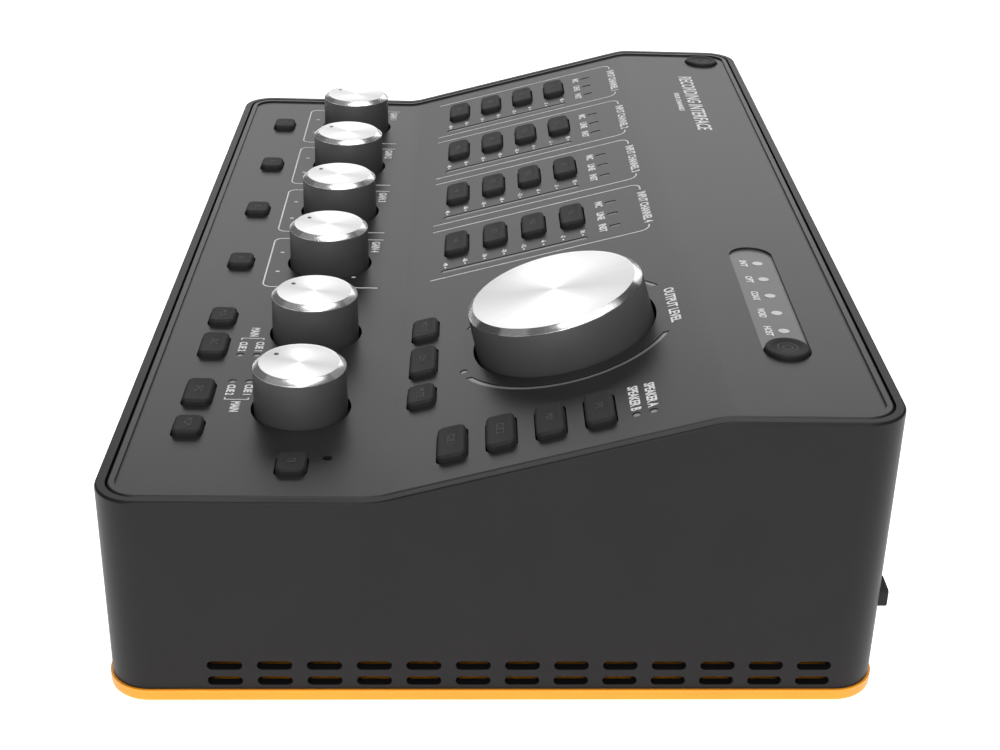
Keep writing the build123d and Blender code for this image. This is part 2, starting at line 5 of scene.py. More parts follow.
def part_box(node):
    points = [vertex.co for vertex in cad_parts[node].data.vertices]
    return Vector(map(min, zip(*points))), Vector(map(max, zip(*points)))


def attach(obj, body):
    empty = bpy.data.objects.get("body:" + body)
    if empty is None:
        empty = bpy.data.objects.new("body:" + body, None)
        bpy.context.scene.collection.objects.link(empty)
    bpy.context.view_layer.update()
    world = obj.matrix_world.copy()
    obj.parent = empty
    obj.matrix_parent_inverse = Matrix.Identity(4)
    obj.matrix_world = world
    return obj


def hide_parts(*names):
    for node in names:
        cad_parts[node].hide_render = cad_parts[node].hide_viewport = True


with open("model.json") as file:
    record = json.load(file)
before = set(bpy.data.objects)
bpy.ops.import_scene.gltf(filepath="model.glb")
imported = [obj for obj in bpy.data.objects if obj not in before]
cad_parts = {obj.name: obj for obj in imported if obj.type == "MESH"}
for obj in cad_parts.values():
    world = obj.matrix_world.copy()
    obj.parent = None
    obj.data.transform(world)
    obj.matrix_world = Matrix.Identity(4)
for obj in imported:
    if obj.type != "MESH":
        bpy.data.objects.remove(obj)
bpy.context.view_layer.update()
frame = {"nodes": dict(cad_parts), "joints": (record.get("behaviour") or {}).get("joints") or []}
joints = {j["child"]: j for j in frame["joints"]}
chassis = "chassis"
mm = 0.001


# decks: each has a matrix whose X and Y lie on the rim plane and whose Z points out of it
knobJoint = joints["gain_knob_1_body"]
outJoint = joints["output_knob_body"]
gainKnobY = -43.6 * mm  # the knob row, from the middle of the body
outputKnobAt = Vector((72.9 * mm, 42.0 * mm, 0))  # the output knob on the sloped deck
bodyY = knobJoint["pos_m"][1] - gainKnobY
rimFront = knobJoint["pos_m"][2]
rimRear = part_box("housing")[1].z
slopeUp = Vector(outJoint["axis"])
slopeAlong = slopeUp.cross(Vector((1, 0, 0)))
fieldDrop = 0.5 * mm  # the printed field lies this far under the rim


def deckMatrix(origin, along, up):
    m = Matrix((Vector((1, 0, 0)), along, up)).transposed().to_4x4()
    m.translation = origin
    return m


frontDeck = deckMatrix(Vector((0, bodyY, rimFront)), Vector((0, 1, 0)), Vector((0, 0, 1)))
rearDeck = deckMatrix(Vector((0, bodyY, rimRear)), Vector((0, 1, 0)), Vector((0, 0, 1)))
slopeDeck = deckMatrix(Vector((0, 0, 0)), slopeAlong, slopeUp)
slopeDeck.translation = Vector(outJoint["pos_m"]) - slopeDeck.to_3x3() @ outputKnobAt
channelX = [joints[f"gain_knob_{i}_body"]["pos_m"][0] for i in (1, 2, 3, 4)]
phonesX = [joints[f"phones_knob_{i}_body"]["pos_m"][0] for i in (1, 2)]


# small helpers

def clearPick():
    if bpy.context.object and bpy.context.object.mode != "OBJECT":
        bpy.ops.object.mode_set(mode="OBJECT")
    bpy.ops.object.select_all(action="DESELECT")


def pick(obj):
    clearPick()
    obj.select_set(True)
    bpy.context.view_layer.objects.active = obj


def settle(obj, place):
    # the object's place goes into its mesh
    pick(obj)
    obj.matrix_world = place @ obj.matrix_world
    bpy.ops.object.transform_apply(location=True, rotation=True, scale=True)


def editFaces(obj, test):
    # opens edit mode with only the faces that pass the test selected
    pick(obj)
    bpy.ops.object.mode_set(mode="EDIT")
    bpy.ops.mesh.select_mode(type="FACE")
    bpy.ops.mesh.select_all(action="DESELECT")
    bpy.ops.object.mode_set(mode="OBJECT")
    for face in obj.data.polygons:
        face.select = test(face)
    bpy.ops.object.mode_set(mode="EDIT")


def editEdges(obj, test):
    pick(obj)
    bpy.ops.object.mode_set(mode="EDIT")
    bpy.ops.mesh.select_mode(type="EDGE")
    bpy.ops.mesh.select_all(action="DESELECT")
    bpy.ops.object.mode_set(mode="OBJECT")
    for edge in obj.data.edges:
        a, b = (obj.data.vertices[v].co for v in edge.vertices)
        edge.select = test(a, b)
    bpy.ops.object.mode_set(mode="EDIT")


def doneEdit():
    bpy.ops.object.mode_set(mode="OBJECT")


def smooth(obj, degrees=32):
    pick(obj)
    bpy.ops.object.shade_smooth_by_angle(angle=math.radians(degrees))


def bevelEdges(obj, width, segments=2, degrees=30):
    pick(obj)
    mod = obj.modifiers.new("edges", "BEVEL")
    mod.width = width
    mod.segments = segments
    mod.limit_method = "ANGLE"
    mod.angle_limit = math.radians(degrees)
    mod.harden_normals = False
    bpy.ops.object.modifier_apply(modifier="edges")


def copyOf(obj, name):
    twin = obj.copy()
    twin.data = obj.data.copy()
    twin.name = name
    bpy.context.scene.collection.objects.link(twin)
    return twin


def joinAll(pieces, name):
    clearPick()
    for piece in pieces:
        piece.select_set(True)
    bpy.context.view_layer.objects.active = pieces[0]
    bpy.ops.object.join()
    pieces[0].name = name
    return pieces[0]


def useMaterial(obj, material):
    obj.data.materials.clear()
    obj.data.materials.append(material)


# materials

plainLook = {"cloud": 60, "vary": 0.08, "unevenGloss": 0.04, "grain": 2500, "bump": 0.25, "bumpDepth": 0.00003,
             "metallic": 0, "coat": 0, "coatRough": 0.2, "specular": 0.5, "sheen": 0, "glow": 0}


def newMaterial(name):
    mat = bpy.data.materials.new(name)
    mat.use_nodes = True
    return mat, mat.node_tree.nodes, mat.node_tree.links, mat.node_tree.nodes["Principled BSDF"]


def surface(name, ownLook):
    # a paint or moulding: cloudy colour, uneven gloss and a fine grain, all on Object coordinates
    look = {**plainLook, **ownLook}
    mat, nodes, links, shader = newMaterial(name)
    coords = nodes.new("ShaderNodeTexCoord")
    cloud = nodes.new("ShaderNodeTexNoise")
    cloud.inputs["Scale"].default_value = look["cloud"]
    cloud.inputs["Detail"].default_value = 5
    tint = nodes.new("ShaderNodeValToRGB")
    colour, vary = look["colour"], look["vary"]
    tint.color_ramp.elements[0].position = 0.3
    tint.color_ramp.elements[1].position = 0.7
    tint.color_ramp.elements[0].color = [c * (1 - vary) for c in colour] + [1]
    tint.color_ramp.elements[1].color = [c * (1 + vary) for c in colour] + [1]
    gloss = nodes.new("ShaderNodeMapRange")
    gloss.inputs["To Min"].default_value = look["rough"] - look["unevenGloss"]
    gloss.inputs["To Max"].default_value = look["rough"] + look["unevenGloss"]
    grain = nodes.new("ShaderNodeTexNoise")
    grain.inputs["Scale"].default_value = look["grain"]
    grain.inputs["Detail"].default_value = 3
    bump = nodes.new("ShaderNodeBump")
    bump.inputs["Strength"].default_value = look["bump"]
    bump.inputs["Distance"].default_value = look["bumpDepth"]
    links.new(coords.outputs["Object"], cloud.inputs["Vector"])
    links.new(coords.outputs["Object"], grain.inputs["Vector"])
    links.new(cloud.outputs["Fac"], tint.inputs["Fac"])
    links.new(tint.outputs["Color"], shader.inputs["Base Color"])
    links.new(grain.outputs["Fac"], gloss.inputs["Value"])
    links.new(gloss.outputs["Result"], shader.inputs["Roughness"])
    links.new(grain.outputs["Fac"], bump.inputs["Height"])
    links.new(bump.outputs["Normal"], shader.inputs["Normal"])
    shader.inputs["Metallic"].default_value = look["metallic"]
    shader.inputs["Coat Weight"].default_value = look["coat"]
    shader.inputs["Coat Roughness"].default_value = look["coatRough"]
    shader.inputs["Specular IOR Level"].default_value = look["specular"]
    shader.inputs["Sheen Weight"].default_value = look["sheen"]
    shader.inputs["Emission Color"].default_value = (1, 1, 1, 1)
    shader.inputs["Emission Strength"].default_value = look["glow"]
    return mat


housingPaint = surface("housingPaint", {
    "colour": (0.0112, 0.0102, 0.0112), "rough": 0.42, "grain": 3800, "bump": 0.2, "specular": 0.22})
panelPaint = surface("panelPaint", {
    "colour": (0.018, 0.0172, 0.0184), "rough": 0.38, "grain": 4200, "bump": 0.16, "vary": 0.06,
    "specular": 0.38})
orangePaint = surface("orangePaint", {
    "colour": (1.0, 0.37, 0.014), "rough": 0.36, "grain": 3000, "bump": 0.12, "vary": 0.04})
keyRubber = surface("keyRubber", {
    "colour": (0.021, 0.0205, 0.0215), "rough": 0.62, "grain": 6000, "bump": 0.3, "sheen": 0.02,
    "specular": 0.2})
skirtPlastic = surface("skirtPlastic", {
    "colour": (0.078, 0.075, 0.078), "rough": 0.5, "grain": 5200, "bump": 0.25, "specular": 0.4})
lensPlastic = surface("lensPlastic", {
    "colour": (0.15, 0.15, 0.152), "rough": 0.3, "grain": 900, "bump": 0.05, "coat": 0.15})
displayPlastic = surface("displayPlastic", {
    "colour": (0.075, 0.074, 0.076), "rough": 0.36, "grain": 1500, "bump": 0.06, "coat": 0.1})
boardGreen = surface("boardGreen", {
    "colour": (0.01, 0.05, 0.022), "rough": 0.35, "grain": 1800, "cloud": 900, "vary": 0.35, "coat": 0.3})
footRubber = surface("footRubber", {"colour": (0.02, 0.02, 0.02), "rough": 0.8, "grain": 1600, "bump": 0.5})
socketPlastic = surface("socketPlastic", {"colour": (0.018, 0.018, 0.019), "rough": 0.45, "grain": 3500})
platedMetal = surface("platedMetal", {
    "colour": (0.62, 0.62, 0.63), "rough": 0.2, "metallic": 1, "grain": 2600, "bump": 0.08, "vary": 0.04})
blackScrew = surface("blackScrew", {
    "colour": (0.08, 0.08, 0.085), "rough": 0.34, "metallic": 1, "grain": 2600, "bump": 0.2})
socketSteel = surface("socketSteel", {
    "colour": (0.27, 0.27, 0.275), "rough": 0.32, "metallic": 1, "grain": 2600, "bump": 0.12})
insulator = surface("insulator", {"colour": (0.55, 0.55, 0.53), "rough": 0.4, "grain": 2600, "bump": 0.1})
printInk = surface("printInk", {"colour": (0.78, 0.78, 0.79), "rough": 0.55, "grain": 5000, "bump": 0.1})
keyInk = surface("keyInk", {"colour": (0.05, 0.049, 0.05), "rough": 0.5, "grain": 5000, "bump": 0.1})
litWindow = surface("litWindow", {"colour": (0.52, 0.52, 0.53), "rough": 0.3, "grain": 1500, "bump": 0.05})
dotInk = surface("dotInk", {"colour": (0.05, 0.05, 0.05), "rough": 0.5, "grain": 4000})


def angleRound(nodes, links, centre, up):
    # Object coordinates, the same moved onto the cap's own axis, and the angle round that axis
    coords = nodes.new("ShaderNodeTexCoord")
    place = nodes.new("ShaderNodeMapping")
    place.vector_type = "TEXTURE"
    place.inputs["Location"].default_value = centre
    place.inputs["Rotation"].default_value = up.to_track_quat("Z", "Y").to_euler()
    split = nodes.new("ShaderNodeSeparateXYZ")
    turn = nodes.new("ShaderNodeMath")
    turn.operation = "ARCTAN2"
    links.new(coords.outputs["Object"], place.inputs["Vector"])
    links.new(place.outputs["Vector"], split.inputs["Vector"])
    links.new(split.outputs["Y"], turn.inputs[0])
    links.new(split.outputs["X"], turn.inputs[1])
    return coords, place, turn


# the caps' ring bump, and the streaks and wedges of the painted reflection in their colour
spunGrainAndSheen = {"streakScale": 14, "streakDetail": 6, "streakShare": 0.35, "ringScale": 9000, "ringDetail": 2,
             "bump": 0.12, "bumpDepth": 0.00001, "darkAt": 0.1, "lightAt": 0.95}


def spunAluminium(name, centre, up, tone):
    # a turned disc: fine rings in its bump, and in its colour a painted reflection of broad light and dark
    # wedges that meet at its centre
    mat, nodes, links, shader = newMaterial(name)
    place, turn = angleRound(nodes, links, centre, up)[1:]
    wedge = nodes.new("ShaderNodeMath")
    wedge.operation = "MULTIPLY"
    wedge.inputs[1].default_value = 1 / math.pi
    streak = nodes.new("ShaderNodeTexNoise")
    streak.noise_dimensions = "1D"
    streak.inputs["Scale"].default_value = spunGrainAndSheen["streakScale"]
    streak.inputs["Detail"].default_value = spunGrainAndSheen["streakDetail"]
    bands = nodes.new("ShaderNodeMath")
    bands.operation = "COSINE"
    double = nodes.new("ShaderNodeMath")
    double.operation = "MULTIPLY_ADD"
    double.inputs[1].default_value = 2  # two painted light and two painted dark reflection wedges
    double.inputs[2].default_value = tone["turn"]
    soft = nodes.new("ShaderNodeMapRange")
    soft.inputs["From Min"].default_value = -1
    soft.inputs["To Min"].default_value = 0
    blend = nodes.new("ShaderNodeMath")
    blend.operation = "MULTIPLY_ADD"
    blend.inputs[1].default_value = spunGrainAndSheen["streakShare"]
    ramp = nodes.new("ShaderNodeValToRGB")
    ramp.color_ramp.elements[0].position = spunGrainAndSheen["darkAt"]
    ramp.color_ramp.elements[0].color = [tone["dark"]] * 3 + [1]
    ramp.color_ramp.elements[1].position = spunGrainAndSheen["lightAt"]
    ramp.color_ramp.elements[1].color = [tone["light"]] * 3 + [1]
    length = nodes.new("ShaderNodeVectorMath")
    length.operation = "LENGTH"
    rings = nodes.new("ShaderNodeTexNoise")
    rings.noise_dimensions = "1D"
    rings.inputs["Scale"].default_value = spunGrainAndSheen["ringScale"]
    rings.inputs["Detail"].default_value = spunGrainAndSheen["ringDetail"]
    bump = nodes.new("ShaderNodeBump")
    bump.inputs["Strength"].default_value = spunGrainAndSheen["bump"]
    bump.inputs["Distance"].default_value = spunGrainAndSheen["bumpDepth"]
    tangent = nodes.new("ShaderNodeTangent")
    tangent.direction_type = "RADIAL"
    tangent.axis = "Z"
    links.new(turn.outputs["Value"], wedge.inputs[0])
    links.new(wedge.outputs["Value"], streak.inputs["W"])
    links.new(turn.outputs["Value"], double.inputs[0])
    links.new(double.outputs["Value"], bands.inputs[0])
    links.new(bands.outputs["Value"], soft.inputs["Value"])
    links.new(streak.outputs["Fac"], blend.inputs[0])
    links.new(soft.outputs["Result"], blend.inputs[2])
    links.new(blend.outputs["Value"], ramp.inputs["Fac"])
    links.new(ramp.outputs["Color"], shader.inputs["Base Color"])
    links.new(place.outputs["Vector"], length.inputs[0])
    links.new(length.outputs["Value"], rings.inputs["W"])
    links.new(rings.outputs["Fac"], bump.inputs["Height"])
    links.new(bump.outputs["Normal"], shader.inputs["Normal"])
    links.new(tangent.outputs["Tangent"], shader.inputs["Tangent"])
    shader.inputs["Metallic"].default_value = 1
    shader.inputs["Roughness"].default_value = tone["rough"]
    shader.inputs["Anisotropic"].default_value = tone["aniso"]
    return mat


def cutAluminium(name, centre, up, tone):
    # the chamfer: glossy, its brightness a painted reflection round it in long light and dark stretches
    mat, nodes, links, shader = newMaterial(name)
    coords, _, turn = angleRound(nodes, links, centre, up)
    share = nodes.new("ShaderNodeMapRange")  # 0 to 1 once round the cap
    share.inputs["From Min"].default_value = -math.pi
    share.inputs["From Max"].default_value = math.pi
    # the painted reflection: a shade for each angle round the cap
    reflectionShades = nodes.new("ShaderNodeValToRGB")
    steps = tone["reflectionShades"]
    while len(reflectionShades.color_ramp.elements) < len(steps):
        reflectionShades.color_ramp.elements.new(0.5)
    for stop, (degrees, shade) in zip(reflectionShades.color_ramp.elements, steps):
        stop.position = (degrees + 180) / 360
        stop.color = [shade] * 3 + [1]
    grain = nodes.new("ShaderNodeTexNoise")
    grain.inputs["Scale"].default_value = tone["grain"]
    gloss = nodes.new("ShaderNodeMapRange")
    gloss.inputs["To Min"].default_value = tone["rough"]
    gloss.inputs["To Max"].default_value = tone["rough"] + tone["unevenGloss"]
    links.new(coords.outputs["Object"], grain.inputs["Vector"])
    links.new(turn.outputs["Value"], share.inputs["Value"])
    links.new(share.outputs["Result"], reflectionShades.inputs["Fac"])
    links.new(reflectionShades.outputs["Color"], shader.inputs["Base Color"])
    links.new(grain.outputs["Fac"], gloss.inputs["Value"])
    links.new(gloss.outputs["Result"], shader.inputs["Roughness"])
    shader.inputs["Metallic"].default_value = tone["metallic"]
    return mat


for node, material in {
    "housing": housingPaint, "top_panel": panelPaint, "base_plate": orangePaint, "feet": footRubber,
    "base_screws": blackScrew, "main_board": boardGreen, "control_boards": boardGreen,
    "key_switches": socketPlastic, "pots": platedMetal, "light_pipes": lensPlastic,
    "display_tray": displayPlastic, "combo_sockets": socketPlastic, "line_jacks": socketSteel,
    "digital_sockets": socketSteel, "data_sockets": socketSteel, "power_inlet": socketSteel,
    "headphone_jacks": socketSteel, "power_button": keyRubber,
}.items():
    useMaterial(frame["nodes"][node], material)
print("materials done")


# knobs

smallKnob = {"skirtLow": 10.35, "skirtHigh": 10.2, "sunk": 3.0, "capLow": 9.5, "capRise": 1.3,
             "capRim": 10.2, "capFace": 8.85, "lip": 0.25, "dish": 0.08, "turns": 96}
bigKnob = {"skirtLow": 21.0, "skirtHigh": 20.5, "sunk": 3.0, "capLow": 9.1, "capRise": 1.3,
           "capRim": 20.45, "capFace": 19.0, "lip": 0.25, "dish": 0.1, "turns": 144}
# dark and light are the shades of the caps' painted reflection wedges
capTone = {"dark": 0.62, "light": 0.79, "rough": 0.36, "aniso": 0.6, "turn": 0.6}
chamferTone = {"rough": 0.22, "unevenGloss": 0.04, "metallic": 0.75, "grain": 1500, "reflectionShades": (  # degree, shade of the painted reflection
    (-172, 0.9), (-130, 0.5), (-126, 0.9), (-92, 0.9), (-88, 0.9), (-66, 0.9), (-63, 0.22), (-42, 0.28),
    (-39, 0.75), (-21, 0.8), (-18, 0.4), (-1, 0.45), (2, 0.95), (29, 0.95), (32, 0.4), (45, 0.35),
    (48, 0.2), (69, 0.25), (72, 0.9), (100, 0.9), (104, 0.5), (135, 0.55), (139, 0.9))}
knobCut = {"foot": 3.0, "stub": 2.4, "skirtEdge": 0.12, "land": 0.3, "step": 0.5, "capEdge": 0.06}
dotSize = {"radius": 0.55, "out": 0.74, "turn": -145, "thick": 0.12, "sunk": 0.02, "edge": 0.02}


def makeSkirt(name, size, place, body):
    high, low = size["capLow"] * mm, -size["sunk"] * mm
    bpy.ops.mesh.primitive_cylinder_add(vertices=size["turns"], radius=size["skirtLow"] * mm,
                                        depth=high - low, location=(0, 0, (high + low) / 2))
    skirt = bpy.context.object
    skirt.name = name
    pick(skirt)
    bpy.ops.object.transform_apply(location=True, rotation=True, scale=True)
    ratio = size["skirtHigh"] / size["skirtLow"]
    editFaces(skirt, lambda f: f.normal.z > 0.9)
    bpy.ops.transform.resize(value=(ratio, ratio, 1))
    doneEdit()
    editFaces(skirt, lambda f: f.normal.z < -0.9)
    bpy.ops.mesh.inset(thickness=(size["skirtLow"] - knobCut["foot"]) * mm, depth=0)
    bpy.ops.mesh.extrude_region_move(TRANSFORM_OT_translate={"value": (0, 0, -knobCut["stub"] * mm)})
    doneEdit()
    bevelEdges(skirt, knobCut["skirtEdge"] * mm)
    settle(skirt, place)
    useMaterial(skirt, skirtPlastic)
    smooth(skirt)
    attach(skirt, body)
    return skirt


def makeCap(name, size, place, body):
    rise = size["capRise"] * mm
    bpy.ops.mesh.primitive_cylinder_add(vertices=size["turns"], radius=size["capRim"] * mm, depth=rise,
                                        location=(0, 0, size["capLow"] * mm + rise / 2))
    cap = bpy.context.object
    cap.name = name
    pick(cap)
    bpy.ops.object.transform_apply(location=True, rotation=True, scale=True)
    editFaces(cap, lambda f: f.normal.z > 0.9)
    bpy.ops.transform.translate(value=(0, 0, -(rise - size["lip"] * mm)))
    bpy.ops.mesh.extrude_region_move(TRANSFORM_OT_translate={"value": (0, 0, rise - size["lip"] * mm)})
    ratio = size["capFace"] / size["capRim"]
    bpy.ops.transform.resize(value=(ratio, ratio, 1))
    bpy.ops.mesh.inset(thickness=knobCut["land"] * mm, depth=0)
    bpy.ops.mesh.inset(thickness=knobCut["step"] * mm, depth=-size["dish"] * mm)
    bpy.ops.mesh.inset(thickness=size["capFace"] * 0.5 * mm, depth=-size["dish"] * 0.5 * mm)
    bpy.ops.mesh.poke()
    doneEdit()
    bevelEdges(cap, knobCut["capEdge"] * mm, degrees=25)
    settle(cap, place)
    up = place.to_3x3() @ Vector((0, 0, 1))
    centre = place.translation
    useMaterial(cap, spunAluminium(name + "Face", centre, up, capTone))
    cap.data.materials.append(cutAluminium(name + "Chamfer", centre, up, chamferTone))
    for face in cap.data.polygons:
        face.material_index = 0 if face.normal.dot(up) > 0.93 else 1
    smooth(cap, 25)
    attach(cap, body)


def makeDot(name, size, place, body):
    # the dark dot that points; its distance from the axis is a share of the face's radius
    turn = math.radians(dotSize["turn"])
    out = size["capFace"] * dotSize["out"] * mm
    top = (size["capLow"] + size["capRise"] - size["dish"]) * mm
    spot = (out * math.sin(turn), out * math.cos(turn), top - dotSize["sunk"] * mm)
    bpy.ops.mesh.primitive_cylinder_add(vertices=24, radius=dotSize["radius"] * mm,
                                        depth=dotSize["thick"] * mm, location=spot)
    dot = bpy.context.object
    dot.name = name
    bevelEdges(dot, dotSize["edge"] * mm, segments=1)
    settle(dot, place)
    useMaterial(dot, dotInk)
    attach(dot, body)


def atJoint(body, deck):
    m = deck.copy()
    m.translation = Vector(joints[body]["pos_m"])
    return m


for node in [f"gain_knob_{i}" for i in (1, 2, 3, 4)] + ["phones_knob_1", "phones_knob_2"]:
    place = atJoint(node + "_body", frontDeck)
    skirt = makeSkirt(node + "_skirt", smallKnob, place, node + "_body")
    makeCap(node + "_cap", smallKnob, place, node + "_body")
    makeDot(node + "_dot", smallKnob, place, node + "_body")
    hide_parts(node)
place = atJoint("output_knob_body", slopeDeck)
skirt = makeSkirt("output_knob_skirt", bigKnob, place, "output_knob_body")
makeCap("output_knob_cap", bigKnob, place, "output_knob_body")
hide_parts("output_knob")
print("knobs done")


# keys

keyShape = {"corner": 1.5, "edge": 0.75, "proud": 1.0, "width": 6.15, "deep": 3.4, "margin": 1.6, "land": 0.35,
            "dish": 0.05, "foot": 1.2, "stem": 3.0}
keyMark = {"lift": 0.012, "thick": 0.02, "height": 1.7, "squeeze": 0.7}
perCapital = 1.42  # the text size for each unit of a capital letter's height


def makeKey(node, deck):
    flat = deck.inverted() @ frame["nodes"][node].matrix_world
    spots = [flat @ v.co for v in frame["nodes"][node].data.vertices]
    left, right = min(s.x for s in spots), max(s.x for s in spots)
    front, rear = min(s.y for s in spots), max(s.y for s in spots)
    centre = Vector(((left + right) / 2, (front + rear) / 2, 0))
    length = right - left - keyShape["margin"] * mm  # the hidden flange sticks out at both ends
    deep, top = keyShape["deep"] * mm, keyShape["proud"] * mm
    bpy.ops.mesh.primitive_cube_add(size=1, location=(centre.x, centre.y, top - deep / 2),
                                    scale=(length, keyShape["width"] * mm, deep))
    key = bpy.context.object
    key.name = node + "_cap"
    pick(key)
    bpy.ops.object.transform_apply(location=True, rotation=True, scale=True)
    editEdges(key, lambda a, b: abs(a.z - b.z) > deep / 2)
    bpy.ops.mesh.bevel(offset=keyShape["corner"] * mm, segments=7, affect="EDGES")
    doneEdit()
    editFaces(key, lambda f: f.normal.z > 0.9)
    bpy.ops.mesh.bevel(offset=keyShape["edge"] * mm, segments=5, affect="EDGES")
    doneEdit()
    editFaces(key, lambda f: f.normal.z > 0.99)
    bpy.ops.mesh.inset(thickness=keyShape["land"] * mm, depth=-keyShape["dish"] * mm)
    doneEdit()
    editFaces(key, lambda f: f.normal.z < -0.9)
    bpy.ops.mesh.inset(thickness=keyShape["foot"] * mm, depth=0)
    bpy.ops.mesh.extrude_region_move(TRANSFORM_OT_translate={"value": (0, 0, -keyShape["stem"] * mm)})
    doneEdit()
    settle(key, deck)
    useMaterial(key, keyRubber)
    smooth(key, 40)
    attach(key, node + "_body")
    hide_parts(node)
    return centre


def markKey(node, word, deck, centre):
    bpy.ops.object.text_add(location=(centre.x, centre.y, (keyShape["proud"] + keyMark["lift"]) * mm))
    mark = bpy.context.object
    mark.name = node + "_mark"
    mark.data.body = word
    mark.data.align_x = "CENTER"
    mark.data.align_y = "CENTER"
    mark.data.size = keyMark["height"] * perCapital * mm
    mark.data.resolution_u = 2
    mark.data.extrude = keyMark["thick"] / 2 * mm
    mark.scale.x = keyMark["squeeze"]
    pick(mark)
    bpy.ops.object.convert(target="MESH")
    settle(mark, deck)
    useMaterial(mark, keyInk)
    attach(mark, node + "_body")


frontKeys = {f"gain_key_{i}": "IN" for i in (1, 2, 3, 4)}
frontKeys.update({"phones_1_mono_key": "MON", "phones_1_source_key": "SRC", "phones_2_source_key": "SRC",
                  "phones_2_mono_key": "MON", "talkback_key": "TB"})
slopeKeys = {"mono_key": "MONO", "dim_key": "DIM", "mute_key": "MUTE"}
for number, word in enumerate(("CUE 1", "CUE 2", "MIX", "SPK"), start=1):
    slopeKeys[f"output_key_{number}"] = word
for channel in (1, 2, 3, 4):
    for row, word in enumerate(("+48", "REV", "PAD", "INS"), start=1):
        slopeKeys[f"channel_{channel}_key_{row}"] = word
for keys, deck in ((frontKeys, frontDeck), (slopeKeys, slopeDeck)):
    for node, word in keys.items():
        markKey(node, word, deck, makeKey(node, deck))

roundShape = {"margin": 1.6, "proud": 0.45, "deep": 2.25, "edge": 0.5, "rim": 0.9, "step": 0.25, "dish": 0.16}
ringLine = {"half": 0.09, "flat": 0.3}
ringRadii = {"display_button": (1.1, 2.2), "standby_button": (1.8,)}


def makeRoundButton(node):
    low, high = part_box(node)
    centre = (low + high) / 2
    radius = (high.x - low.x - roundShape["margin"] * mm) / 2
    deep = roundShape["deep"] * mm
    middle = rimRear + roundShape["proud"] * mm - deep / 2
    bpy.ops.mesh.primitive_cylinder_add(vertices=72, radius=radius, depth=deep,
                                        location=(centre.x, centre.y, middle))
    button = bpy.context.object
    button.name = node + "_cap"
    pick(button)
    bpy.ops.object.transform_apply(location=True, rotation=True, scale=True)
    editFaces(button, lambda f: f.normal.z > 0.9)
    bpy.ops.mesh.bevel(offset=roundShape["edge"] * mm, segments=4, affect="EDGES")
    doneEdit()
    editFaces(button, lambda f: f.normal.z > 0.995)  # the flat only, without the bevel's first ring
    bpy.ops.mesh.inset(thickness=roundShape["rim"] * mm, depth=0)
    bpy.ops.mesh.inset(thickness=roundShape["step"] * mm, depth=-roundShape["dish"] * mm)
    doneEdit()
    useMaterial(button, keyRubber)
    smooth(button, 40)
    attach(button, node + "_body")
    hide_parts(node)
    return centre


def ringMark(name, centre, radius, body):
    bpy.ops.mesh.primitive_torus_add(major_radius=radius, minor_radius=ringLine["half"] * mm,
                                     major_segments=48, minor_segments=6, location=centre)
    ring = bpy.context.object
    ring.name = name
    ring.scale.z = ringLine["flat"]
    settle(ring, Matrix.Identity(4))
    useMaterial(ring, keyInk)
    smooth(ring)
    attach(ring, body)


for node, radii in ringRadii.items():
    centre = makeRoundButton(node)
    centre.z = rimRear + (roundShape["proud"] - roundShape["dish"]) * mm
    for number, radius in enumerate(radii, start=1):
        ringMark(f"{node}_ring_{number}", centre, radius * mm, node + "_body")
print("keys done")


# printing on the panel

ink = {"lift": 0.02, "thick": 0.02, "line": 0.22, "flat": 0.12, "bold": 0.09}
printed = []


def flatten(obj, deck, lift):
    # lays a finished flat piece on a deck's field
    settle(obj, deck @ Matrix.Translation((0, 0, -fieldDrop + lift * mm)))
    printed.append(obj)


def addLabel(words, deck, x, y, height, length, lift=ink["lift"], bold=ink["bold"]):
    # capital letters of this height, drawn out or squeezed to this length
    bpy.ops.object.text_add(location=(x * mm, y * mm, 0))
    label = bpy.context.object
    label.data.body = words
    label.data.align_x = "CENTER"
    label.data.align_y = "CENTER"
    label.data.size = height * perCapital * mm
    label.data.resolution_u = 3
    label.data.offset = bold * mm
    label.data.extrude = ink["thick"] * mm / 2
    pick(label)
    bpy.ops.object.convert(target="MESH")
    label.scale.x = length * mm / label.dimensions.x
    flatten(label, deck, lift)


def addLine(points, deck):
    # a printed line through the points, in millimetres on the deck
    curve = bpy.data.curves.new("line", "CURVE")
    curve.dimensions = "3D"
    curve.bevel_depth = ink["line"] * mm
    curve.bevel_resolution = 1
    spline = curve.splines.new("POLY")
    spline.points.add(len(points) - 1)
    for spot, (x, y) in zip(spline.points, points):
        spot.co = (x * mm, y * mm, 0, 1)
    line = bpy.data.objects.new("line", curve)
    bpy.context.scene.collection.objects.link(line)
    pick(line)
    bpy.ops.object.convert(target="MESH")
    line = bpy.context.object
    line.scale.z = ink["flat"]
    flatten(line, deck, ink["lift"])


def corner(cx, cy, radius, start, end, steps=6):
    # the points of a rounded corner, from one angle to the other
    angles = [math.radians(start + (end - start) * i / steps) for i in range(steps + 1)]
    return [(cx + radius * math.cos(a), cy + radius * math.sin(a)) for a in angles]


def addDash(deck, x, y, length, width, turn=0.0):
    bpy.ops.mesh.primitive_cylinder_add(vertices=16, radius=width / 2 * mm, depth=ink["thick"] * mm)
    dash = bpy.context.object
    dash.scale.x = length / width
    dash.rotation_euler.z = math.radians(turn)
    dash.location = (x * mm, y * mm, 0)
    flatten(dash, deck, ink["lift"])


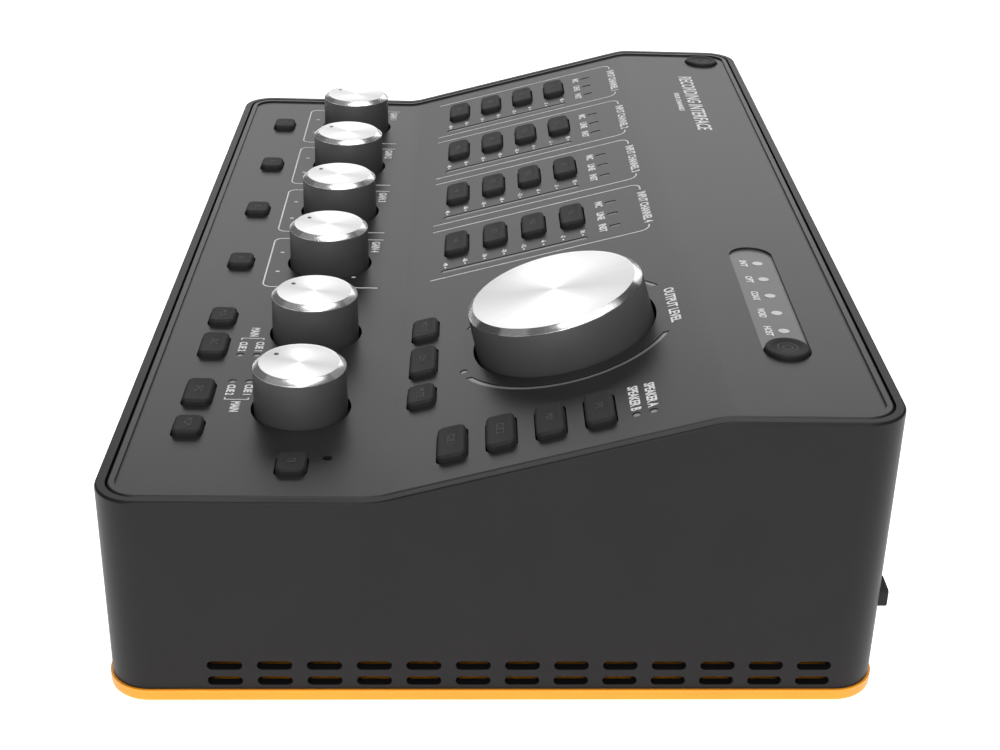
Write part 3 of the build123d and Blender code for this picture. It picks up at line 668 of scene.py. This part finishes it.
gainBox = {"half": 16.3, "front": -59.6, "rear": -30.2, "corner": 2.2, "label": (-11.2, -32.2), "text": 2.1,
           "length": 7.4}
knobTick = {"places": ((-6.4, -13.1), (6.4, -13.1), (9.6, 6.9)), "long": 1.2, "wide": 0.62}
for number, cx in enumerate(channelX, start=1):
    x, box = cx / mm, gainBox
    left, right, r = x - box["half"], x + box["half"], box["corner"]
    addLine([(left, box["rear"])] + corner(left + r, box["front"] + r, r, 180, 270)
            + corner(right - r, box["front"] + r, r, 270, 360) + [(right, box["rear"])], frontDeck)
    addLabel(f"GAIN {number}", frontDeck, x + box["label"][0], box["label"][1], box["text"], box["length"])
    for dx, dy in knobTick["places"]:
        addDash(frontDeck, x + dx, gainKnobY / mm + dy, knobTick["long"], knobTick["wide"], 90)

channelBox = {"left": 16.1, "right": 16.8, "front": 8.9, "rear": 66.9, "corner": 2.6, "label": (1.1, 66.9),
              "text": 2.2, "length": 22.0, "gap": 12.6}
sourceWords = ("MIC", "LINE", "INST")
levelWords = ("-48", "-36", "-24", "-18", "-12", "-6", "-3", "OVL")
sources = {"up": 55.0, "across": (-8.0, 0.4, 8.8), "text": 1.9, "letter": 1.3}
levels = {"wordX": 8.2, "dotX": 10.4, "first": 12.8, "step": 5.27, "text": 1.15, "letter": 0.72, "bold": 0.07,
          "dotLong": 0.9, "dotWide": 0.55}
for number, cx in enumerate(channelX, start=1):
    x, box = cx / mm, channelBox
    left, right, r = x - box["left"], x + box["right"], box["corner"]
    name = (x + box["label"][0], box["label"][1])
    addLine([(left, box["front"])] + corner(left + r, box["rear"] - r, r, 180, 90)
            + [(name[0] - box["gap"], box["rear"])], slopeDeck)
    addLine([(name[0] + box["gap"], box["rear"])] + corner(right - r, box["rear"] - r, r, 90, 0)
            + [(right, box["front"])], slopeDeck)
    addLabel(f"INPUT CHANNEL {number}", slopeDeck, *name, box["text"], box["length"])
    for word, dx in zip(sourceWords, sources["across"]):
        addLabel(word, slopeDeck, x + dx, sources["up"], sources["text"], sources["letter"] * len(word))
    for i, word in enumerate(levelWords):
        y = levels["first"] + i * levels["step"]
        addLabel(word, slopeDeck, x + levels["wordX"], y, levels["text"], levels["letter"] * len(word),
                 bold=levels["bold"])
        addDash(slopeDeck, x + levels["dotX"], y, levels["dotLong"], levels["dotWide"])

phonesPrint = {"lensX": (65.0, 78.6), "lensY": (-60.2, -56.3), "words": ("CUE 2", "CUE 1"), "text": 1.75,
               "length": 5.0, "wordOut": 4.3, "bracketOut": 8.9, "hook": 0.9, "half": 2.6, "mainOut": 3.4,
               "mainText": 1.1, "mainLength": 4.8}  # mainText is a multiple of text
size = phonesPrint
for lensX, side in zip(size["lensX"], (-1, 1)):
    for word, y in zip(size["words"], size["lensY"]):
        addLabel(word, frontDeck, lensX + side * size["wordOut"], y, size["text"], size["length"])
    bracketX = lensX + side * size["bracketOut"]
    hookX, middleY = bracketX - side * size["hook"], sum(size["lensY"]) / 2
    addLine([(hookX, middleY - size["half"]), (bracketX, middleY - size["half"]),
             (bracketX, middleY + size["half"]), (hookX, middleY + size["half"])], frontDeck)
    addLabel("MAIN", frontDeck, bracketX + side * size["mainOut"], middleY, size["text"] * size["mainText"],
             size["mainLength"])

singleLabels = (  # words, deck, x, y, height and length
    ("OUTPUT LEVEL", slopeDeck, 72.6, 67.4, 2.3, 18.5),
    ("SPEAKER A", slopeDeck, 112.9, 58.4, 2.1, 10.6),
    ("SPEAKER B", slopeDeck, 112.9, 54.8, 2.1, 10.6),
    ("RECORDING INTERFACE", rearDeck, -77.5, 62.8, 4.2, 54.0),
    ("FOUR CHANNELS", rearDeck, -77.5, 58.2, 1.5, 18.0))
for label in singleLabels:
    addLabel(*label)
panelPrint = joinAll(printed, "panel_print")
useMaterial(panelPrint, printInk)
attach(panelPrint, chassis)
printed.clear()

displayPrint = {"labelY": 59.6, "lensY": 63.1, "first": 49.8, "step": 9.53, "drop": -0.47, "text": 1.6,
                "letter": 1.25, "lens": 1.1, "lensThick": 0.1, "lensLong": 1.15,
                "words": ("INT", "OPT", "COAX", "WORD", "HOST")}
displayX = [displayPrint["first"] + i * displayPrint["step"] for i in range(len(displayPrint["words"]))]
for word, x in zip(displayPrint["words"], displayX):
    addLabel(word, rearDeck, x, displayPrint["labelY"], displayPrint["text"],
             displayPrint["letter"] * len(word), lift=displayPrint["drop"])
displayLabels = joinAll(printed, "display_print")
useMaterial(displayLabels, printInk)
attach(displayLabels, chassis)
printed.clear()
for x in displayX:
    bpy.ops.mesh.primitive_cylinder_add(vertices=32, radius=displayPrint["lens"] * mm,
                                        depth=displayPrint["lensThick"] * mm)
    lens = bpy.context.object
    lens.scale.y = displayPrint["lensLong"]
    lens.location = (x * mm, displayPrint["lensY"] * mm, 0)
    flatten(lens, rearDeck, displayPrint["drop"])
displayLenses = joinAll(printed, "display_lenses")
useMaterial(displayLenses, litWindow)
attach(displayLenses, chassis)
printed.clear()
print("printing done")


# sockets: the back wall and the front wall are decks too, with X to the right of whoever faces them

comboLow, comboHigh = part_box("combo_sockets")
jackLow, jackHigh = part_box("line_jacks")
proud = 2.4 * mm  # how far the sockets stand out of the back wall
backWall = Matrix((Vector((-1, 0, 0)), Vector((0, 0, 1)), Vector((0, 1, 0)))).transposed().to_4x4()
backWall.translation = Vector((0, jackHigh.y - proud, 0))
frontWall = Matrix((Vector((1, 0, 0)), Vector((0, 0, 1)), Vector((0, -1, 0)))).transposed().to_4x4()
frontWall.translation = Vector((0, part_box("housing")[0].y, 0))
upperRow = (comboLow.z + comboHigh.z) / 2 / mm
lowerRow = (jackLow.z + jackHigh.z) / 2 / mm
jackRow = {"ring": 5.8, "step": 17.0, "count": 8}  # the first is its ring's radius in from the row's end
firstJack = jackLow.x / mm + jackRow["ring"]
jackX = [firstJack + i * jackRow["step"] for i in range(jackRow["count"])]
wallX = {"host": -31.0, "data": (-49.0, -67.0, -85.0), "power": -108.5,
         "clock": (-38.0, -56.0), "coaxial": (-74.0, -88.0), "optical": (-102.0, -115.0)}


def turned(name, profile, steps=40):
    # a closed profile of (radius, height) points in millimetres, spun round Z
    curve = bpy.data.curves.new(name, "CURVE")
    curve.dimensions = "3D"
    spline = curve.splines.new("POLY")
    spline.points.add(len(profile) - 1)
    for spot, (r, z) in zip(spline.points, profile):
        spot.co = (r * mm, 0, z * mm, 1)
    obj = bpy.data.objects.new(name, curve)
    bpy.context.scene.collection.objects.link(obj)
    pick(obj)
    bpy.ops.object.convert(target="MESH")
    obj = bpy.context.object
    bpy.ops.object.mode_set(mode="EDIT")
    bpy.ops.mesh.select_all(action="SELECT")
    bpy.ops.mesh.spin(steps=steps, angle=2 * math.pi, center=(0, 0, 0), axis=(0, 0, 1))
    bpy.ops.mesh.select_all(action="SELECT")
    bpy.ops.mesh.remove_doubles(threshold=0.000002)
    bpy.ops.mesh.normals_make_consistent(inside=False)
    doneEdit()
    smooth(obj, 35)
    return obj


def block(name, x, y, low, high, width, height, edge):
    # a small moulded block standing on a wall
    bpy.ops.mesh.primitive_cube_add(size=1, location=(x * mm, y * mm, (low + high) / 2 * mm),
                                    scale=(width * mm, height * mm, (high - low) * mm))
    piece = bpy.context.object
    piece.name = name
    pick(piece)
    bpy.ops.object.transform_apply(location=True, rotation=True, scale=True)
    bevelEdges(piece, edge * mm)
    return piece


def copiesAlong(obj, places, wall, name):
    # copies of a finished piece at places on a wall, joined
    rows = []
    for i, (x, y) in enumerate(places):
        twin = copyOf(obj, f"{name}_{i + 1}")
        settle(twin, wall @ Matrix.Translation((x * mm, y * mm, 0)))
        rows.append(twin)
    bpy.data.objects.remove(obj)
    return joinAll(rows, name) if len(rows) > 1 else rows[0]


comboShape = {"pins": 3, "pinCircle": 7.2, "pin": 1.4, "pinLong": 20, "pinMiddle": -4, "screwOut": 15.6}
comboProfile = (
    (0, -18), (12, -18), (12, 0), (13.2, 0), (13.2, 1.9), (12.9, 2.3), (12.4, 2.4), (11.9, 2.4), (11.5, 2.1),
    (11.3, 0.9), (5.2, 0.9), (5.0, 1.5), (3.7, 1.5), (3.25, 1.2), (3.25, -16), (0, -16), (0, -18))
comboLatch = {"x": 0, "y": -9.0, "low": 0.7, "high": 2.1, "width": 5.2, "height": 2.6, "edge": 0.4}
screwProfile = ((0, 0), (1.9, 0), (1.9, 0.35), (1.5, 0.85), (0.9, 1.0), (0.8, 0.35), (0, 0.35), (0, 0))


def makeCombos():
    combo = turned("combo_body", comboProfile, 64)
    out = comboShape["pinCircle"]
    for i in range(comboShape["pins"]):
        turn = math.radians(90 + 360 / comboShape["pins"] * i)
        spot = (out * math.cos(turn) * mm, out * math.sin(turn) * mm, comboShape["pinMiddle"] * mm)
        bpy.ops.mesh.primitive_cylinder_add(vertices=24, radius=comboShape["pin"] * mm,
                                            depth=comboShape["pinLong"] * mm, location=spot)
        cutter = bpy.context.object
        pick(combo)
        cut = combo.modifiers.new("pin", "BOOLEAN")
        cut.operation = "DIFFERENCE"
        cut.object = cutter
        bpy.ops.object.modifier_apply(modifier="pin")
        bpy.data.objects.remove(cutter)
    useMaterial(combo, socketPlastic)
    smooth(combo, 35)
    places = [(-x / mm, upperRow) for x in channelX]
    combos = copiesAlong(combo, places, backWall, "combo_bodies")
    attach(combos, chassis)
    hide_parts("combo_sockets")
    latch = block("combo_latch", **comboLatch)
    useMaterial(latch, platedMetal)
    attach(copiesAlong(latch, places, backWall, "combo_latches"), chassis)
    head = turned("combo_screw", screwProfile, 24)
    useMaterial(head, blackScrew)
    out = comboShape["screwOut"] / math.sqrt(2)
    spots = [(x + side * out, y + side * out) for x, y in places for side in (-1, 1)]
    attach(copiesAlong(head, spots, backWall, "combo_screws"), chassis)


washerProfile = ((5.9, 0), (5.9, 0.5), (6.5, 0.5), (6.8, 0.2), (6.8, 0), (5.9, 0))
throatProfile = ((2.5, -6), (2.5, 1.7), (2.7, 1.9), (3.2, 1.9), (3.2, -6), (2.5, -6))


def makeJackTrim():
    places = [(-x, lowerRow) for x in jackX]
    washer = turned("washer", washerProfile)
    useMaterial(washer, socketPlastic)
    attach(copiesAlong(washer, places, backWall, "jack_washers"), chassis)
    throat = turned("throat", throatProfile, 32)
    useMaterial(throat, socketPlastic)
    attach(copiesAlong(throat, places, backWall, "jack_throats"), chassis)


clockProfile = ((0.5, -6), (0.5, 1.4), (0.7, 1.6), (2.1, 1.6), (2.15, -6), (0.5, -6))
coaxProfile = ((1.5, -6), (1.5, 1.7), (1.7, 1.9), (2.35, 1.9), (2.45, -6), (1.5, -6))
opticalFrame = {"x": 0, "y": 0, "low": 0, "high": 1.2, "width": 10.4, "height": 10.4, "edge": 0.4}
opticalShutter = {"rim": 1.7, "step": 0.1, "sunk": 0.5}
opticalGrip = {"x": 0, "y": -1.9, "low": 0.6, "high": 1.05, "width": 3.2, "height": 0.7, "edge": 0.15}
dataTongue = {"x": 0, "y": 0.7, "low": -10, "high": -0.6, "width": 10.2, "height": 1.5, "edge": 0.15}
hostTongue = {"x": 0, "y": 0, "low": -8, "high": -0.8, "width": 6.4, "height": 0.8, "edge": 0.12}


def makeDigitalTrim():
    # white insulators in the clock sockets, coloured ones in the coaxial sockets
    clock = turned("clock_insert", clockProfile, 32)
    useMaterial(clock, insulator)
    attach(copiesAlong(clock, [(x, upperRow) for x in wallX["clock"]], backWall, "clock_inserts"), chassis)
    coax = turned("coax_insert", coaxProfile, 32)
    useMaterial(coax, orangePaint)
    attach(copiesAlong(coax, [(x, upperRow) for x in wallX["coaxial"]], backWall, "coax_inserts"), chassis)
    shutter = block("optical_frame", **opticalFrame)
    editFaces(shutter, lambda f: f.normal.z > 0.99 and f.area > 40 * mm * mm)  # the front, not its bevels
    bpy.ops.mesh.inset(thickness=opticalShutter["rim"] * mm, depth=0)
    bpy.ops.mesh.inset(thickness=opticalShutter["step"] * mm, depth=-opticalShutter["sunk"] * mm)
    doneEdit()
    useMaterial(shutter, socketPlastic)
    optical = [(x, upperRow) for x in wallX["optical"]]
    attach(copiesAlong(shutter, optical, backWall, "optical_frames"), chassis)
    grip = block("optical_grip", **opticalGrip)
    useMaterial(grip, keyRubber)
    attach(copiesAlong(grip, optical, backWall, "optical_grips"), chassis)
    tongue = block("data_tongue", **dataTongue)
    useMaterial(tongue, insulator)
    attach(copiesAlong(tongue, [(x, lowerRow) for x in wallX["data"]], backWall, "data_tongues"), chassis)
    tongue = block("host_tongue", **hostTongue)
    useMaterial(tongue, socketPlastic)
    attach(copiesAlong(tongue, [(wallX["host"], lowerRow)], backWall, "host_tongue"), chassis)


wallPrint = {"comboUp": 15.6, "nameUp": 8.4, "groupUp": 12.4, "dataDown": 7.6, "jackDown": 9.6,
             "jackGroupDown": 13.2, "small": 1.7, "text": 1.8, "large": 2.0}  # heights over and under the rows
digitalGroups = {"clock": ("WORD CLOCK", 13.0), "coaxial": ("COAXIAL", 9.2), "optical": ("OPTICAL", 9.2)}
phonesWall = {"right": 8.5, "up": 12.0, "text": 2.1, "length": 12.5}


def wallWords():
    # words, x, y, height and length of everything printed on the back
    size = wallPrint
    comboY, nameY, groupY = (upperRow + size[key] for key in ("comboUp", "nameUp", "groupUp"))
    dataY, jackY, jackGroupY = (lowerRow - size[key] for key in ("dataDown", "jackDown", "jackGroupDown"))
    words = [(f"MIC / LINE {i}", -x / mm, comboY, size["large"], 15.0) for i, x in enumerate(channelX, start=1)]
    words += [(str(i), -x, jackY, size["large"], 1.3) for i, x in enumerate(jackX, start=1)]
    words.append(("INSERT", -(jackX[0] + jackX[3]) / 2, jackGroupY, size["text"], 9.0))
    words.append(("LINE OUTPUT", -(jackX[4] + jackX[7]) / 2, jackGroupY, size["text"], 14.0))
    for group, (title, length) in digitalGroups.items():
        first, second = wallX[group]
        words.append(("IN", first, nameY, size["small"], 2.2))
        words.append(("OUT", second, nameY, size["small"], 3.6))
        words.append((title, (first + second) / 2, groupY, size["text"], length))
    words.append(("HOST", wallX["host"], dataY, size["text"], 5.4))
    words += [(f"DATA {i}", x, dataY, size["text"], 7.2) for i, x in enumerate(wallX["data"], start=1)]
    words.append(("POWER", wallX["power"], jackY, size["text"], 6.8))
    return words


def printWalls():
    onWall = fieldDrop / mm + ink["lift"]  # the walls have no sunk field
    for words, x, y, height, length in wallWords():
        addLabel(words, backWall, x, y, height, length, lift=onWall)
    for number, x in enumerate(phonesX, start=1):
        addLabel(f"PHONES {number}", frontWall, x / mm + phonesWall["right"], lowerRow + phonesWall["up"],
                 phonesWall["text"], phonesWall["length"], lift=onWall)
    lettering = joinAll(printed, "wall_print")
    useMaterial(lettering, printInk)
    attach(lettering, chassis)
    printed.clear()


makeCombos()
makeJackTrim()
makeDigitalTrim()
printWalls()
print("sockets done")


# studio

def addLamp(name, place, aim, size, power):
    bpy.ops.object.light_add(type="AREA", location=place)
    lamp = bpy.context.object
    lamp.name = name
    lamp.data.shape = "RECTANGLE"
    lamp.data.size, lamp.data.size_y = size
    lamp.data.energy = power
    lamp.rotation_euler = (Vector(aim) - Vector(place)).to_track_quat("-Z", "Y").to_euler()


floorSet = {"size": 30, "under": 0.0001}  # in metres, just clear of the feet
bpy.ops.mesh.primitive_plane_add(size=floorSet["size"], location=(0, 0, -floorSet["under"]))
floor = bpy.context.object
floor.name = "floor"
useMaterial(floor, surface("floorPaper", {
    "colour": (0.94, 0.94, 0.94), "rough": 0.9, "vary": 0.01, "cloud": 3, "grain": 300, "bump": 0.02,
    "glow": 0.75}))

world = bpy.data.worlds.new("studio")
bpy.context.scene.world = world
world.use_nodes = True
# two strengths, then the Z and X of the direction looked in, between which they blend
sky = {"sides": 0.7, "sweep": 1.1, "sweepFoot": 0.2, "sweepTop": 0.62, "behind": -0.75}


def paintSky():
    nodes, links = world.node_tree.nodes, world.node_tree.links
    coords = nodes.new("ShaderNodeTexCoord")
    split = nodes.new("ShaderNodeSeparateXYZ")
    behind = nodes.new("ShaderNodeMapRange")  # 1 behind the object, 0 on the camera's side
    behind.interpolation_type = "SMOOTHSTEP"
    behind.inputs["From Min"].default_value = 0.0
    behind.inputs["From Max"].default_value = sky["behind"]
    low = nodes.new("ShaderNodeMapRange")  # 1 near the horizon
    low.interpolation_type = "SMOOTHSTEP"
    low.inputs["From Min"].default_value = sky["sweepTop"]
    low.inputs["From Max"].default_value = sky["sweepFoot"]
    both = nodes.new("ShaderNodeMath")
    both.operation = "MULTIPLY"
    level = nodes.new("ShaderNodeMapRange")
    level.inputs["To Min"].default_value = sky["sides"]
    level.inputs["To Max"].default_value = sky["sweep"]
    links.new(coords.outputs["Generated"], split.inputs["Vector"])
    links.new(split.outputs["X"], behind.inputs["Value"])
    links.new(split.outputs["Z"], low.inputs["Value"])
    links.new(behind.outputs["Result"], both.inputs[0])
    links.new(low.outputs["Result"], both.inputs[1])
    links.new(both.outputs["Value"], level.inputs["Value"])
    links.new(level.outputs["Result"], nodes["Background"].inputs["Strength"])


lamps = {
    "overhead_box": {"place": (0.1, 0.12, 1.2), "aim": (0, 0, 0), "size": (0.9, 0.7), "power": 8},
    "behind_box": {"place": (-1.5, 0.0, 0.75), "aim": (0, 0, 0.03), "size": (1.8, 0.8), "power": 8.5},
    "front_box": {"place": (1.3, -0.1, 0.75), "aim": (0, 0, 0.04), "size": (1.0, 1.0), "power": 12}}
paintSky()
for name, lamp in lamps.items():
    addLamp(name, **lamp)

camera = bpy.data.objects.new("camera", bpy.data.cameras.new("camera"))
bpy.context.scene.collection.objects.link(camera)
cameraSet = {"place": (0.4137, -0.0087, 0.2226), "yaw": 0.0711, "pitch": 0.4686, "roll": 0.0438,
             "lens": 58.98, "sensor": 36, "shift": -0.0677, "clip": 0.01}
yaw, pitch, roll = cameraSet["yaw"], cameraSet["pitch"], cameraSet["roll"]
forward = Vector((-math.cos(yaw) * math.cos(pitch), math.sin(yaw) * math.cos(pitch), -math.sin(pitch)))
level = forward.cross(Vector((0, 0, 1))).normalized()
rise = level.cross(forward)
right = math.cos(roll) * level + math.sin(roll) * rise
up = -math.sin(roll) * level + math.cos(roll) * rise
facing = Matrix((right, up, -forward)).transposed().to_4x4()
camera.matrix_world = Matrix.Translation(cameraSet["place"]) @ facing
camera.data.lens = cameraSet["lens"]
camera.data.sensor_width = cameraSet["sensor"]
camera.data.shift_x = cameraSet["shift"]
camera.data.clip_start = cameraSet["clip"]
bpy.context.scene.camera = camera
bpy.context.scene.view_settings.view_transform = "Standard"
print("studio done")
